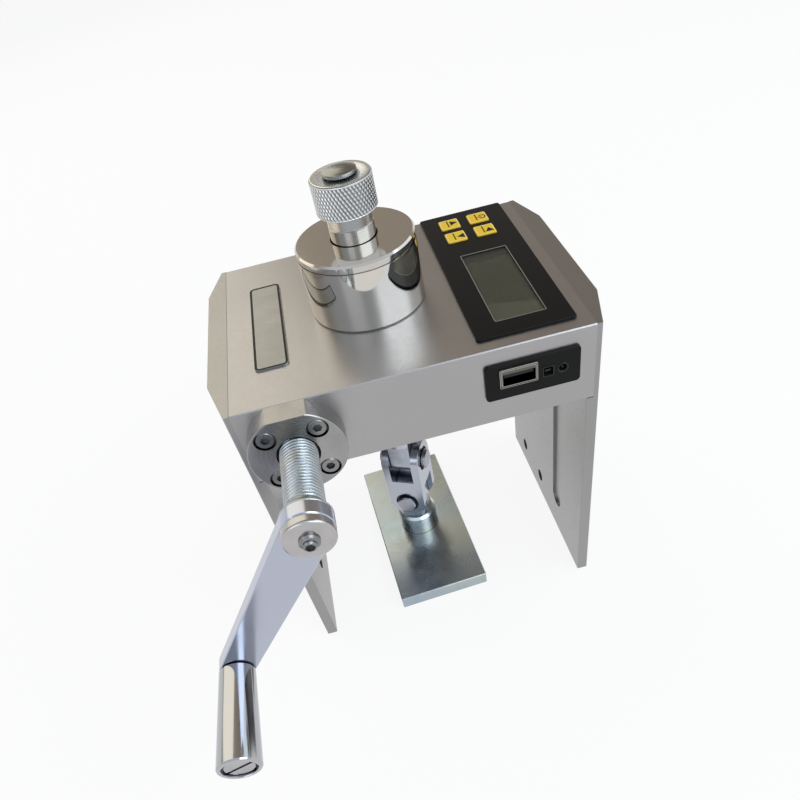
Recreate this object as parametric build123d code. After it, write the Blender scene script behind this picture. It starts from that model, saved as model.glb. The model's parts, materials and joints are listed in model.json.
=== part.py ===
"""Hand-cranked pull-off bond strength tester, as an assembly of separate pieces.

Millimetres. +Z is up, +Y points to the rear, +X to the right as seen from the crank side.
The origin is on the pull axis, in the bonding face of the standard block, which lies level
with the feet.
"""
import os
from math import asin, cos, radians, sin

from build123d import *

# Frame: body block and the two legs
frame_width = 148.0
frame_depth = 105.0
frame_height = 146.0
frame_offset = 8.0
body_height = 33.2
leg_thickness = 10.5
leg_rebate = 2.75
leg_bevel_across = 5.8
leg_bevel_along = 20.0
groove_width = 10.8
groove_depth = 1.2
groove_foot = 16.5
groove_place = -20.8
peg_radius = 3.3
peg_depth = 4.0
peg_height = 12.0
peg_pitch = 26.3
edge_break = 0.4

# Screws that hold the legs
leg_screw_radius = 2.0
leg_screw_head = 4.0
leg_screw_length = 12.0
leg_screw_socket = 1.4
leg_screw_inset = 14.0
leg_screw_rise = 17.0

# Fits and seats
running_gap = 0.05
snug_gap = 0.01
ball_gap = 0.02
loose_gap = 0.3
seal_section = 1.0
seal_groove = 2.2
seal_bite = 0.05

# Loading cylinder on the pull axis
barrel_radius = 22.75
barrel_height = 23.6
barrel_wall = 3.75
spigot_step = 1.75
barrel_sink = 6.0
lid_thickness = 2.7
lid_groove = 0.5
lid_plug = 4.0
lid_shadow = 0.9
lid_bevel = 0.7
wiper_width = 1.2
wiper_height = 1.8
wiper_lip = 0.6
wiper_shoulder = 0.5
piston_thickness = 10.0
piston_rest = 1.0
stem_radius = 8.5
stem_above_lid = 5.4
stem_bore = 5.4
lower_stem = 19.0
stem_mouth = 1.6
stem_seal_rise = 18.3
spring_inset = 5.0
spring_wire = 1.1
spring_turns = 3.0

# Knurled nut
nut_radius = 11.3
nut_height = 12.2
nut_chamfer = 0.7
nut_neck_radius = 7.6
nut_neck = 4.8
cap_radius = 6.1
cap_disc = 1.5
cap_dome = 1.3
cap_plug = 1.6
cap_ledge = 1.4

# Pull rod and universal joint
rod_radius = 5.0
rod_head_radius = 8.0
rod_head_height = 16.0
rod_reach_in_nut = 8.4
rod_head_clearance = 2.0
rod_shoulder = 3.0
rod_flats = 5.0
joint_turn = -27.0
link_width = 19.0
link_slot = 11.4
tongue_thickness = 10.6
tongue_width = 13.0
pin_radius = 4.8
pin_proud = 2.2
pin_bevel = 0.6
pin_recess = 6.0
pin_recess_depth = 1.6
clip_thickness = 0.8
lower_pin_height = 33.0
pin_spacing = 24.2
upper_slot_floor = 47.8
slot_web = 5.1
boss_radius = 9.9
boss_height = 12.4
boss_bevel = 1.2
stud_thread_radius = 5.0
stud_thread = 5.2

# Standard block
block_length = 95.0
block_width = 45.0
block_thickness = 7.0
block_turn = 3.4

# Pump: spindle, plunger and flange
pump_x = -38.7
pump_drop = 16.4
flange_radius = 17.9
flange_thickness = 9.0
flange_chamfer = 0.3
flange_spigot_radius = 11.0
flange_spigot = 3.0
flange_screw_radius = 2.0
flange_screw_head = 3.5
flange_screw_height = 4.0
flange_counterbore = 4.0
flange_screw_depth = 4.3
flange_screw_length = 16.0
flange_screw_circle = 13.2
flange_mouth_radius = 7.9
flange_mouth = 2.5
spindle_radius = 7.0
spindle_out = 27.8
spindle_thread_in = 10.0
spindle_nose_radius = 5.6
collar_radius = 9.1
collar_cone = 2.6
collar_land = 0.6
plunger_radius = 6.0
plunger_length = 18.0
plunger_front = -12.0
plunger_land = 1.6
plunger_groove = 1.6
plunger_groove_depth = 1.5
ball_radius = 3.0
ball_seat = 1.0
chamber_start = -17.0
chamber_end = 16.5
gallery_radius = 1.25
gallery_inset = 1.5
plug_length = 6.0
plug_radius = 2.3
plug_inset = 0.5

# Crank and handle
crank_length = 83.4
crank_angle = 35.0
arm_thickness = 6.0
arm_hub_radius = 9.1
arm_tip_radius = 6.9
shank_radius = 5.0
shank_flat = 0.9
disc_radius = 9.0
disc_round = 1.1
disc_thickness = 3.9
disc_groove = 0.5
crank_screw_flange = 3.6
crank_screw_head = 2.4
crank_screw_height = 2.8
crank_screw_collar = 1.5
crank_screw_radius = 2.0
crank_screw_length = 12.0
hex_across = 3.0
socket_share = 0.55
grip_length = 39.0
grip_base_radius = 7.1
grip_end_radius = 8.25
grip_gap = 0.4
grip_recess = 6.5
grip_recess_depth = 3.2
bolt_radius = 4.0
bolt_thread_radius = 3.0
bolt_head_radius = 5.8
bolt_head = 2.4
bolt_slot = 1.3
bolt_slot_depth = 1.1
bolt_slot_turn = -22.0

# Display panel on the top face
fascia_centre = (50.7, 2.9)
fascia_width = 37.1
fascia_length = 98.6
fascia_thickness = 1.0
fascia_corner = 1.2
fascia_lap = (2.05, 2.8)
fascia_rim = 1.2
fascia_rim_wall = 1.5
pocket_floor = 6.0
pocket_corner = 4.0
window_shift = 0.4
window_margins = (8.45, 38.85)
window_width = 19.4
window_thickness = 0.8
window_sink = 0.15
key_size = (8.6, 8.4)
key_shift = -0.5
key_inset = 16.4
key_pitch = (12.8, 12.2)
key_proud = 0.5
key_flange = 0.7
key_gap = 0.2
key_travel = 0.35
switch_size = 6.0
switch_height = 1.6
switch_stem = 1.0
key_button_radius = 1.7

# Electronics under the panel
board_gap = (1.0, 1.5)
board_thickness = 1.6
board_drop = 6.5
post_radius = 2.4
post_inset = (2.9, 3.2)
port_board_depth = 18.0
post_clearance = 1.2
board_screw_head = 1.9
board_screw_height = 1.3
board_screw_radius = 1.0
board_screw_length = 5.0
post_bore_spare = 2.0
module_rim = (0.3, 2.35)
module_drop = 1.4
cell_radius = 9.1
cell_near_gap = 5.0
cell_gap = 0.8
cell_button = 1.0
cell_button_radius = 2.6
sensor_radius = 6.5
sensor_length = 12.0
sensor_nut = 4.0
sensor_can_radius = 5.2
sensor_thread = 4.5
sensor_thread_length = 9.0

# Sockets on the front face
port_centre = (50.2, 131.8)
port_width = 35.9
port_height = 15.5
port_thickness = 1.2
port_corner = 1.6
usb_x = 45.0
usb_z = 132.9
usb_inner = (12.5, 5.1)
usb_wall = 0.4
usb_flange = (14.2, 7.5)
usb_flange_shift = (-0.3, 0.9)
usb_flange_thickness = 0.6
usb_depth = 14.0
usb_tongue_size = (11.1, 1.8)
service_x = 55.9
service_size = (4.4, 4.6)
service_depth = 6.0
service_wall = 0.4
jack_x = 61.4
jack_radius = 2.1
jack_bore = 1.5
jack_pin = 0.5
jack_depth = 8.0

# Label plate on the top face
label_centre = (-41.4, -0.4)
label_width = 13.0
label_length = 60.4
label_thickness = 0.6
label_corner = 2.0

# Places worked out from the sizes above
left = frame_offset - frame_width / 2
right = frame_offset + frame_width / 2
front = -frame_depth / 2
rear = frame_depth / 2
top = frame_height
body_bottom = frame_height - body_height
pump_height = frame_height - pump_drop
side_wall = leg_thickness - leg_rebate
body_left = left + side_wall
body_right = right - side_wall
barrel_bore = barrel_radius - barrel_wall
barrel_spigot = barrel_radius - spigot_step
spring_radius = barrel_bore - spring_inset
barrel_top = top + barrel_height
lid_top = barrel_top + lid_groove + lid_thickness
stem_top = lid_top + stem_above_lid
piston_low = top - barrel_sink + piston_rest
piston_high = piston_low + piston_thickness
stem_seal_height = body_bottom + stem_seal_rise
nut_low = stem_top + nut_neck
nut_top = nut_low + nut_height
upper_pin_height = lower_pin_height + pin_spacing
link_round = link_width / 2
lower_slot_roof = upper_slot_floor - slot_web
boss_top = block_thickness + boss_height
flange_front = front - flange_thickness
thread_front = flange_front - spindle_out
collar_front = thread_front - collar_cone - collar_land
arm_front = collar_front - arm_thickness
disc_front = arm_front - disc_thickness
plunger_rear_end = plunger_front - plunger_length
nose_tip = plunger_rear_end - 2 * ball_radius + 2 * ball_seat
gallery_y = chamber_end - gallery_inset
handle_x = pump_x - crank_length * sin(radians(crank_angle))
handle_z = pump_height - crank_length * cos(radians(crank_angle))
grip_base = arm_front - grip_gap
grip_end = grip_base - grip_length
grip_floor = grip_end + grip_recess_depth
board_top = top - board_drop
board_low = board_top - board_thickness
floor_z = body_bottom + pocket_floor
port_front = front - port_thickness
port_board_top = port_centre[1] - service_size[1] / 2
port_board_low = port_board_top - board_thickness
port_board_rear = front + port_board_depth
fascia_rear = fascia_centre[1] + fascia_length / 2
window_length = fascia_length - window_margins[0] - window_margins[1]
window_centre = (fascia_centre[0] + window_shift, fascia_rear - window_margins[1] - window_length / 2)
key_centre = (fascia_centre[0] + key_shift, fascia_rear - key_inset)
pocket_width = fascia_width - 2 * fascia_lap[0]
pocket_length = fascia_length - 2 * fascia_lap[1]
board_size = (pocket_width - 2 * board_gap[0], pocket_length - 2 * board_gap[1])
module_size = (window_width + 2 * module_rim[0], window_length + 2 * module_rim[1])
post_near = port_board_rear + post_radius + post_clearance
post_far = fascia_centre[1] + board_size[1] / 2 - post_inset[1]
cell_rear = post_far - post_radius - cell_gap
cell_near = post_near + post_radius + cell_near_gap


def slab(x, y, z):
    """A block between three (low, high) pairs."""
    centre = Pos((x[0] + x[1]) / 2, (y[0] + y[1]) / 2, (z[0] + z[1]) / 2)
    return centre * Box(x[1] - x[0], y[1] - y[0], z[1] - z[0])


def upright(radius, low, high, at=(0, 0)):
    """A round bar along Z between two heights."""
    return Pos(at[0], at[1], (low + high) / 2) * Cylinder(radius, high - low)


def lying(radius, near, far, at):
    """A round bar along Y between two depths, at (x, z)."""
    return Pos(at[0], (near + far) / 2, at[1]) * Rot(90, 0, 0) * Cylinder(radius, far - near)


def crossing(radius, low, high, at):
    """A round bar along X between two places, at (y, z)."""
    return Pos((low + high) / 2, at[0], at[1]) * Rot(0, 90, 0) * Cylinder(radius, high - low)


def turned(profile, at=(0, 0)):
    """A turned piece on an upright axis, from (radius, height) points."""
    face = Plane.XZ * Polygon(*profile, align=None)
    return Pos(at[0], at[1], 0) * revolve(face, axis=Axis.Z)


def turned_lying(profile, at):
    """A turned piece on an axis along Y at (x, z), from (radius, depth) points."""
    face = Plane.XZ * Polygon(*profile, align=None)
    return Pos(at[0], 0, at[1]) * Rot(-90, 0, 0) * revolve(face, axis=Axis.Z)


def plate(width, length, low, high, corner, at):
    """A plate lying flat with rounded corners, centred at (x, y)."""
    return Pos(at[0], at[1], low) * extrude(RectangleRounded(width, length, corner), high - low)


def front_plate(width, height, near, far, corner, at):
    """An upright plate parallel to the front face, centred at (x, z)."""
    sketch = Plane.XZ.offset(-far) * Pos(at[0], at[1]) * RectangleRounded(width, height, corner)
    return extrude(sketch, far - near)


def flange_screw_places():
    """The four (x, z) places of the flange's screws."""
    reach = flange_screw_circle * cos(radians(45))
    return [(pump_x + i * reach, pump_height + k * reach) for i in (-1, 1) for k in (-1, 1)]


def leg_screw_places():
    """The (y, z) places of the screws in each leg."""
    middle = (body_bottom + top) / 2
    ys = (front + leg_bevel_along + leg_screw_inset, rear - leg_bevel_along - leg_screw_inset)
    return [(y, middle + k * leg_screw_rise / 2) for y in ys for k in (-1, 1)]


def board_post_places():
    """The (x, y) places of the board's four posts."""
    reach = board_size[0] / 2 - post_inset[0]
    return [(fascia_centre[0] + i * reach, y) for i in (-1, 1) for y in (post_near, post_far)]


def key_places():
    """The (x, y) place of each key by name."""
    left_x = key_centre[0] - key_pitch[0] / 2
    right_x = key_centre[0] + key_pitch[0] / 2
    near_y = key_centre[1] - key_pitch[1] / 2
    far_y = key_centre[1] + key_pitch[1] / 2
    return {
        "key_enter": (left_x, far_y),
        "key_up": (left_x, near_y),
        "key_power": (right_x, far_y),
        "key_down": (right_x, near_y),
    }


def turn_to_joint(shape):
    """Turns a piece about the pull axis to the stance of the universal joint."""
    return Rot(0, 0, joint_turn) * shape


def body_block():
    """The machined block, with cylinder seat, pump bore, oil gallery and panel pocket."""
    block = slab((body_left, body_right), (front, rear), (body_bottom, top))
    block = chamfer(block.edges().filter_by(Axis.X), edge_break)
    seat = upright(barrel_spigot + running_gap, top - barrel_sink, top)
    stem = upright(stem_radius + running_gap, body_bottom, top)
    groove = upright(stem_radius + 2 * seal_section, stem_seal_height - seal_groove / 2,
                     stem_seal_height + seal_groove / 2)
    mouth = turned([(0, body_bottom), (stem_radius + stem_mouth, body_bottom),
                    (stem_radius, body_bottom + stem_mouth), (0, body_bottom + stem_mouth)])
    pump = (pump_x, pump_height)
    thread = lying(spindle_radius + running_gap, front, chamber_start, pump)
    chamber = lying(plunger_radius + running_gap, chamber_start, chamber_end, pump)
    flange_seat = lying(flange_spigot_radius + running_gap, front, front + flange_spigot, pump)
    gallery = crossing(gallery_radius, body_left, fascia_centre[0] - pocket_width / 2, (gallery_y, pump_height))
    plug = crossing(plug_radius + running_gap, body_left, body_left + plug_inset + plug_length + loose_gap,
                    (gallery_y, pump_height))
    wall = fascia_centre[0] - pocket_width / 2
    port = crossing(sensor_thread + running_gap, wall - sensor_thread_length, wall, (gallery_y, pump_height))
    riser = upright(gallery_radius, pump_height, top - barrel_sink, (0, gallery_y))
    pocket = plate(pocket_width, pocket_length, floor_z, top, pocket_corner, fascia_centre)
    pocket_front = fascia_centre[1] - pocket_length / 2
    window = slab((fascia_centre[0] - pocket_width / 2 + 1, fascia_centre[0] + pocket_width / 2 - 1),
                  (front, pocket_front + pocket_corner),
                  (port_board_low, port_centre[1] + port_height / 2 - 1.5))
    block = block - seat - stem - groove - mouth - thread - chamber - flange_seat
    block = block - gallery - plug - port - riser - pocket - window
    for x, z in flange_screw_places():
        block -= lying(flange_screw_radius + running_gap, front, front + flange_screw_length - 3, (x, z))
    depth = leg_screw_length - side_wall + 1
    for y, z in leg_screw_places():
        block -= crossing(leg_screw_radius + running_gap, body_left, body_left + depth, (y, z))
        block -= crossing(leg_screw_radius + running_gap, body_right - depth, body_right, (y, z))
    return block


def leg(side):
    """One side plate: bevelled in plan, rebated for the body, grooved on its inner face."""
    outer = left if side < 0 else right
    inner = outer - side * leg_thickness
    outline = [
        (inner, front), (outer - side * leg_bevel_across, front), (outer, front + leg_bevel_along),
        (outer, rear - leg_bevel_along), (outer - side * leg_bevel_across, rear), (inner, rear),
    ]
    body = extrude(Polygon(*outline, align=None), frame_height, dir=(0, 0, 1))
    body = chamfer(body.edges().filter_by(Axis.Z).group_by(Axis.X)[0 if side > 0 else -1], edge_break)
    seat = outer - side * side_wall
    past = inner - side
    body -= slab((min(seat, past), max(seat, past)), (front - 1, rear + 1), (body_bottom, top + 1))
    floor = inner + side * groove_depth
    groove_end = groove_foot + groove_width / 2
    body -= slab((min(floor, past), max(floor, past)),
                 (groove_place - groove_width / 2, groove_place + groove_width / 2),
                 (groove_end, body_bottom))
    body -= crossing(groove_width / 2, min(floor, past), max(floor, past), (groove_place, groove_end))
    hole_end = inner + side * peg_depth
    for step in (1, 2):
        body -= crossing(peg_radius, min(past, hole_end), max(past, hole_end),
                         (groove_place + step * peg_pitch, peg_height))
    for y, z in leg_screw_places():
        body -= crossing(leg_screw_radius + running_gap, min(seat, outer), max(seat, outer), (y, z))
        sink = Rot(0, side * 90, 0) * Cone(leg_screw_radius + running_gap, leg_screw_head + running_gap,
                                           leg_screw_head - leg_screw_radius)
        body -= Pos(outer - side * (leg_screw_head - leg_screw_radius) / 2, y, z) * sink
    return body


def leg_screw(side, y, z):
    """A countersunk screw with a hexagon socket."""
    outer = left if side < 0 else right
    head_depth = leg_screw_head - leg_screw_radius
    head = Pos(outer - side * head_depth / 2, y, z) * Rot(0, side * 90, 0) * Cone(
        leg_screw_radius, leg_screw_head - 0.1, head_depth)
    tip = outer - side * leg_screw_length
    neck = outer - side * head_depth
    shank = crossing(leg_screw_radius, min(tip, neck), max(tip, neck), (y, z))
    socket_floor = outer - side * leg_screw_socket
    hexagon = extrude(Plane.YZ.offset(min(outer, socket_floor)) * Pos(y, z)
                      * RegularPolygon(leg_screw_socket, 6), leg_screw_socket)
    return head + shank - hexagon


def cylinder_barrel():
    """The chromed barrel with its spigot in the body and the piston's bore."""
    low = top - barrel_sink
    profile = [
        (barrel_bore, low), (barrel_spigot, low), (barrel_spigot, top), (barrel_radius - 0.6, top),
        (barrel_radius, top + 0.6), (barrel_radius, barrel_top), (barrel_bore, barrel_top),
    ]
    barrel = turned(profile)
    ring = barrel_spigot - seal_section
    groove_mid = top - barrel_sink / 2
    groove_low = groove_mid - seal_groove / 2
    groove_high = groove_mid + seal_groove / 2
    return barrel - turned([(ring, groove_low), (barrel_radius, groove_low), (barrel_radius, groove_high),
                            (ring, groove_high)])


def barrel_seal():
    """Ring seal in the barrel's spigot groove."""
    section = seal_section / 2
    return Pos(0, 0, top - barrel_sink / 2) * Torus(barrel_spigot - section, section - seal_bite)


def cylinder_lid():
    """The lid: polished disc, shadow groove, plug in the bore and the stem's hole."""
    plug_low = barrel_top - lid_plug
    rim_low = barrel_top + lid_groove
    hole = stem_radius + running_gap
    wiper = hole + wiper_width
    lip = lid_top - wiper_lip
    foot = lip - wiper_height
    profile = [
        (hole, plug_low), (barrel_bore - running_gap, plug_low), (barrel_bore - running_gap, barrel_top),
        (barrel_radius - lid_shadow, barrel_top), (barrel_radius - lid_shadow, rim_low), (barrel_radius, rim_low),
        (barrel_radius, lid_top - lid_bevel), (barrel_radius - lid_bevel, lid_top), (hole + wiper_shoulder, lid_top),
        (hole + wiper_shoulder, lip), (wiper, lip), (wiper, foot), (hole, foot),
    ]
    return turned(profile)


def lid_wiper():
    """Wiper ring round the stem, in the lid's recess."""
    inner = stem_radius + running_gap
    outer = inner + wiper_width - seal_bite
    high = lid_top - wiper_lip - seal_bite
    low = lid_top - wiper_lip - wiper_height + seal_bite
    return turned([(inner, low), (outer, low), (outer, high), (inner + wiper_shoulder, high),
                   (inner, high - wiper_shoulder)])


def piston():
    """The hollow piston with its upper and lower stems."""
    rim = barrel_bore - running_gap
    groove = barrel_bore - 2 * seal_section
    middle = (piston_low + piston_high) / 2
    foot = piston_low - lower_stem
    profile = [
        (stem_bore, foot), (stem_radius - 0.5, foot), (stem_radius, foot + 0.5), (stem_radius, piston_low),
        (rim, piston_low), (rim, middle - seal_groove / 2), (groove, middle - seal_groove / 2),
        (groove, middle + seal_groove / 2), (rim, middle + seal_groove / 2), (rim, piston_high - 0.5),
        (rim - 0.5, piston_high), (stem_radius, piston_high), (stem_radius, stem_top - 0.3),
        (stem_radius - 0.3, stem_top), (stem_bore, stem_top),
    ]
    return turned(profile)


def piston_seal():
    """Ring seal in the piston's groove."""
    section = (2 * seal_section - running_gap - seal_bite) / 2
    return Pos(0, 0, (piston_low + piston_high) / 2) * Torus(barrel_bore - running_gap - section, section)


def stem_seal():
    """Ring seal in the body round the piston's lower stem."""
    return Pos(0, 0, stem_seal_height) * Torus(stem_radius + seal_section, seal_section - seal_bite)


def return_spring():
    """Coil spring between the piston and the lid's plug."""
    low = piston_high + spring_wire
    high = barrel_top - lid_plug - spring_wire
    pitch = (high - low) / spring_turns
    path = Helix(pitch, high - low, spring_radius)
    section = Plane(origin=path @ 0, z_dir=path % 0) * Circle(spring_wire)
    coil = sweep(section, path=path, is_frenet=True)
    return Pos(0, 0, low) * coil


def adjusting_nut():
    """The knurled nut: plain neck, grip and a bore closed by its cap."""
    bore = rod_radius + running_gap
    seat = cap_radius - cap_ledge
    profile = [
        (bore, stem_top), (nut_neck_radius, stem_top), (nut_neck_radius, nut_low), (nut_radius - 0.5, nut_low),
        (nut_radius, nut_low + 0.5), (nut_radius, nut_top - nut_chamfer), (nut_radius - nut_chamfer, nut_top),
        (seat, nut_top), (seat, nut_top - cap_plug), (bore, nut_top - cap_plug),
    ]
    return turned(profile)


def nut_cap():
    """Domed disc whose plug closes the nut's bore."""
    seat = cap_radius - cap_ledge - running_gap
    rim = nut_top + cap_disc
    dome_radius = (cap_radius ** 2 + cap_dome ** 2) / (2 * cap_dome)
    half = asin(cap_radius / dome_radius)
    arc = [(dome_radius * sin(half * t), rim + cap_dome - dome_radius * (1 - cos(half * t)))
           for t in (1, 0.8, 0.6, 0.4, 0.2, 0)]
    profile = [(0, nut_top - cap_plug), (seat, nut_top - cap_plug), (seat, nut_top), (cap_radius - 0.3, nut_top),
               (cap_radius, nut_top + 0.3)] + arc
    return turned(profile)


def tongue(pin_height, base_height):
    """A flat tongue along X with a full round about a pin, reaching to its base."""
    half = tongue_width / 2
    low, high = min(pin_height, base_height), max(pin_height, base_height)
    bar = slab((-tongue_thickness / 2, tongue_thickness / 2), (-half, half), (low, high))
    bar += crossing(half, -tongue_thickness / 2, tongue_thickness / 2, (0, pin_height))
    hole = crossing(pin_radius + running_gap, -tongue_thickness, tongue_thickness, (0, pin_height))
    return bar - hole


def pull_rod():
    """Threaded rod with a round head and the upper tongue."""
    head_low = upper_pin_height + link_round + rod_head_clearance
    head_high = head_low + rod_head_height
    tip = stem_top + rod_reach_in_nut
    body = turned([
        (0, head_low), (rod_head_radius - 1, head_low), (rod_head_radius, head_low + 1),
        (rod_head_radius, head_high - rod_shoulder), (rod_radius, head_high), (rod_radius, tip - 0.8),
        (rod_radius - 0.8, tip), (0, tip),
    ])
    flats = slab((-tongue_thickness / 2, tongue_thickness / 2), (-rod_head_radius, rod_head_radius),
                 (head_low, head_low + rod_flats))
    collar = upright(rod_head_radius + 1, head_low, head_low + rod_flats)
    body = body - (collar - flats)
    return turn_to_joint(body + tongue(upper_pin_height, head_low + 1))


def joint_link():
    """Double fork: an upper slot across X, a lower slot across Y, round ends and pin recesses."""
    half = link_width / 2
    bar = slab((-half, half), (-half, half), (lower_pin_height, upper_pin_height))
    bar += crossing(half, -half, half, (0, upper_pin_height))
    bar += lying(half, -half, half, (0, lower_pin_height))
    bar = chamfer(bar.edges().filter_by(Axis.Z), edge_break)
    slot = link_slot / 2
    bar -= slab((-slot, slot), (-half - 1, half + 1), (upper_slot_floor, upper_pin_height + half + 1))
    bar -= slab((-half - 1, half + 1), (-slot, slot), (lower_pin_height - half - 1, lower_slot_roof))
    bar -= crossing(pin_radius + 0.01, -half, half, (0, upper_pin_height))
    bar -= lying(pin_radius + 0.01, -half, half, (0, lower_pin_height))
    floor = half - pin_recess_depth
    for low, high in ((-half - 1, -floor), (floor, half + 1)):
        bar -= crossing(pin_recess, low, high, (0, upper_pin_height))
        bar -= lying(pin_recess, low, high, (0, lower_pin_height))
    return turn_to_joint(bar)


def joint_pin(upper):
    """A plain pin with bevelled ends that stand proud of the link."""
    reach = link_width / 2 + pin_proud
    profile = [(0, -reach), (pin_radius - pin_bevel, -reach), (pin_radius, -reach + pin_bevel),
               (pin_radius, reach - pin_bevel), (pin_radius - pin_bevel, reach), (0, reach)]
    height = upper_pin_height if upper else lower_pin_height
    pin = turned_lying(profile, (0, height))
    if upper:
        pin = Rot(0, 0, 90) * pin
    return turn_to_joint(pin)


def pin_clips():
    """Four retaining rings in the link's recesses."""
    floor = link_width / 2 - pin_recess_depth
    rings = []
    for sign in (-1, 1):
        near, far = sorted((sign * floor, sign * (floor + clip_thickness)))
        ring = lying(pin_recess - 0.2, near, far, (0, lower_pin_height))
        ring -= lying(pin_radius + 0.01, near, far, (0, lower_pin_height))
        rings.append(turn_to_joint(ring))
        ring = crossing(pin_recess - 0.2, near, far, (0, upper_pin_height))
        ring -= crossing(pin_radius + 0.01, near, far, (0, upper_pin_height))
        rings.append(turn_to_joint(ring))
    return rings


def coupling_stud():
    """Round boss with the lower tongue and a threaded spigot in the standard block."""
    body = turned([
        (0, block_thickness), (boss_radius, block_thickness), (boss_radius, boss_top - boss_bevel),
        (boss_radius - boss_bevel, boss_top), (0, boss_top),
    ])
    spigot = upright(stud_thread_radius, block_thickness - stud_thread, block_thickness)
    flat = Rot(0, 0, 90) * tongue(lower_pin_height, boss_top)
    return turn_to_joint(body + spigot + flat)


def standard_block():
    """The loading plate that is bonded to the tested surface."""
    block = plate(block_width, block_length, 0, block_thickness, 0.6, (0, 0))
    block = chamfer(block.edges().group_by(Axis.Z)[-1], edge_break)
    block -= upright(stud_thread_radius + running_gap, block_thickness - stud_thread - 0.3, block_thickness)
    return Rot(0, 0, block_turn) * block


def pump_flange():
    """Turned flange with screw counterbores and a flat level with the body's top."""
    bore = spindle_radius + running_gap
    inner_end = front + flange_spigot - loose_gap
    seal_floor = inner_end - seal_groove
    seal_wall = bore + seal_groove
    profile = [
        (bore, flange_front + flange_mouth), (flange_mouth_radius, flange_front + flange_mouth - 0.8),
        (flange_mouth_radius, flange_front), (flange_radius - flange_chamfer, flange_front),
        (flange_radius, flange_front + flange_chamfer), (flange_radius, front), (flange_spigot_radius, front),
        (flange_spigot_radius, inner_end), (seal_wall, inner_end), (seal_wall, seal_floor), (bore, seal_floor),
    ]
    flange = turned_lying(profile, (pump_x, pump_height))
    flange -= slab((pump_x - flange_radius, pump_x + flange_radius), (flange_front - 1, front),
                   (top, top + flange_radius))
    for place in flange_screw_places():
        flange -= lying(flange_counterbore, flange_front - 1, flange_front + flange_screw_depth, place)
        flange -= lying(flange_screw_radius + loose_gap, flange_front, front, place)
    return flange


def flange_seal():
    """Ring seal round the spindle, in the flange's inner groove."""
    half = seal_groove / 2
    middle = front + flange_spigot - loose_gap - half
    ring = Torus(spindle_radius + running_gap + half, half - seal_bite)
    return Pos(pump_x, middle, pump_height) * Rot(90, 0, 0) * ring


def hexagon_socket(near, depth, at):
    """The hexagonal hole for the key in a screw along +Y, at (x, z)."""
    corner_radius = hex_across / 2 / cos(radians(30))
    return extrude(Plane.XZ.offset(-near - depth) * Pos(at[0], at[1]) * RegularPolygon(corner_radius, 6), depth)


def cap_screw(head_radius, head_height, shank_radius, length, seat, at):
    """Socket-head cap screw along +Y whose head's underside is at the seat."""
    near = seat - head_height
    profile = [(0, near), (head_radius - 0.4, near), (head_radius, near + 0.4), (head_radius, seat),
               (shank_radius, seat), (shank_radius, seat + length - 0.5), (shank_radius - 0.5, seat + length),
               (0, seat + length)]
    screw = turned_lying(profile, at)
    depth = head_height * socket_share
    return screw - hexagon_socket(near, depth, at)


def crank_screw():
    """Flanged screw with a stepped head and a hexagon socket."""
    near = disc_front - crank_screw_height
    tip = disc_front + crank_screw_length
    profile = [
        (0, near), (crank_screw_head - 0.5, near), (crank_screw_head, near + 0.5),
        (crank_screw_head, disc_front - crank_screw_collar), (crank_screw_flange - 0.6, disc_front - 1.2),
        (crank_screw_flange, disc_front - 0.6), (crank_screw_flange, disc_front), (crank_screw_radius, disc_front),
        (crank_screw_radius, tip - 0.5), (crank_screw_radius - 0.5, tip), (0, tip),
    ]
    screw = turned_lying(profile, (pump_x, pump_height))
    depth = crank_screw_height * socket_share
    return screw - hexagon_socket(near, depth, (pump_x, pump_height))


def flange_screws():
    """The four screws of the flange."""
    seat = flange_front + flange_screw_depth
    return [cap_screw(flange_screw_head, flange_screw_height, flange_screw_radius, flange_screw_length - flange_screw_depth,
                      seat, place) for place in flange_screw_places()]


def pump_spindle():
    """The screw: nose with a ball seat, thread, coned collar and the crank's shank."""
    thread_end = front + spindle_thread_in
    shank_end = arm_front + 0.3
    profile = [
        (0, shank_end), (shank_radius, shank_end), (shank_radius, collar_front), (collar_radius, collar_front),
        (collar_radius, collar_front + collar_land), (spindle_radius, thread_front),
        (spindle_radius, thread_end - 1), (spindle_nose_radius, thread_end),
        (spindle_nose_radius, nose_tip - 0.6), (spindle_nose_radius - 0.6, nose_tip), (0, nose_tip),
    ]
    spindle = turned_lying(profile, (pump_x, pump_height))
    spindle -= Pos(pump_x, nose_tip - ball_seat + ball_radius, pump_height) * Sphere(ball_radius + ball_gap)
    flat = shank_radius - shank_flat
    spindle -= slab((pump_x - shank_radius, pump_x + shank_radius), (shank_end - 1, collar_front),
                    (pump_height + flat, pump_height + shank_radius))
    spindle -= lying(crank_screw_radius + running_gap, shank_end, disc_front + crank_screw_length + 1,
                     (pump_x, pump_height))
    return spindle


def thrust_ball():
    """Ball between the spindle's nose and the plunger."""
    return Pos(pump_x, nose_tip - ball_seat + ball_radius, pump_height) * Sphere(ball_radius)


def pump_plunger():
    """Plunger with a seal groove at its front and a ball seat at its back."""
    groove = plunger_radius - plunger_groove_depth
    land = plunger_front - plunger_land
    profile = [
        (0, plunger_rear_end), (plunger_radius - 0.5, plunger_rear_end), (plunger_radius, plunger_rear_end + 0.5),
        (plunger_radius, land - plunger_groove), (groove, land - plunger_groove), (groove, land), (plunger_radius, land),
        (plunger_radius, plunger_front - 0.4), (plunger_radius - 0.4, plunger_front), (0, plunger_front),
    ]
    plunger = turned_lying(profile, (pump_x, pump_height))
    ball = Pos(pump_x, nose_tip - ball_seat + ball_radius, pump_height) * Sphere(ball_radius + ball_gap)
    return plunger - ball


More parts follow.
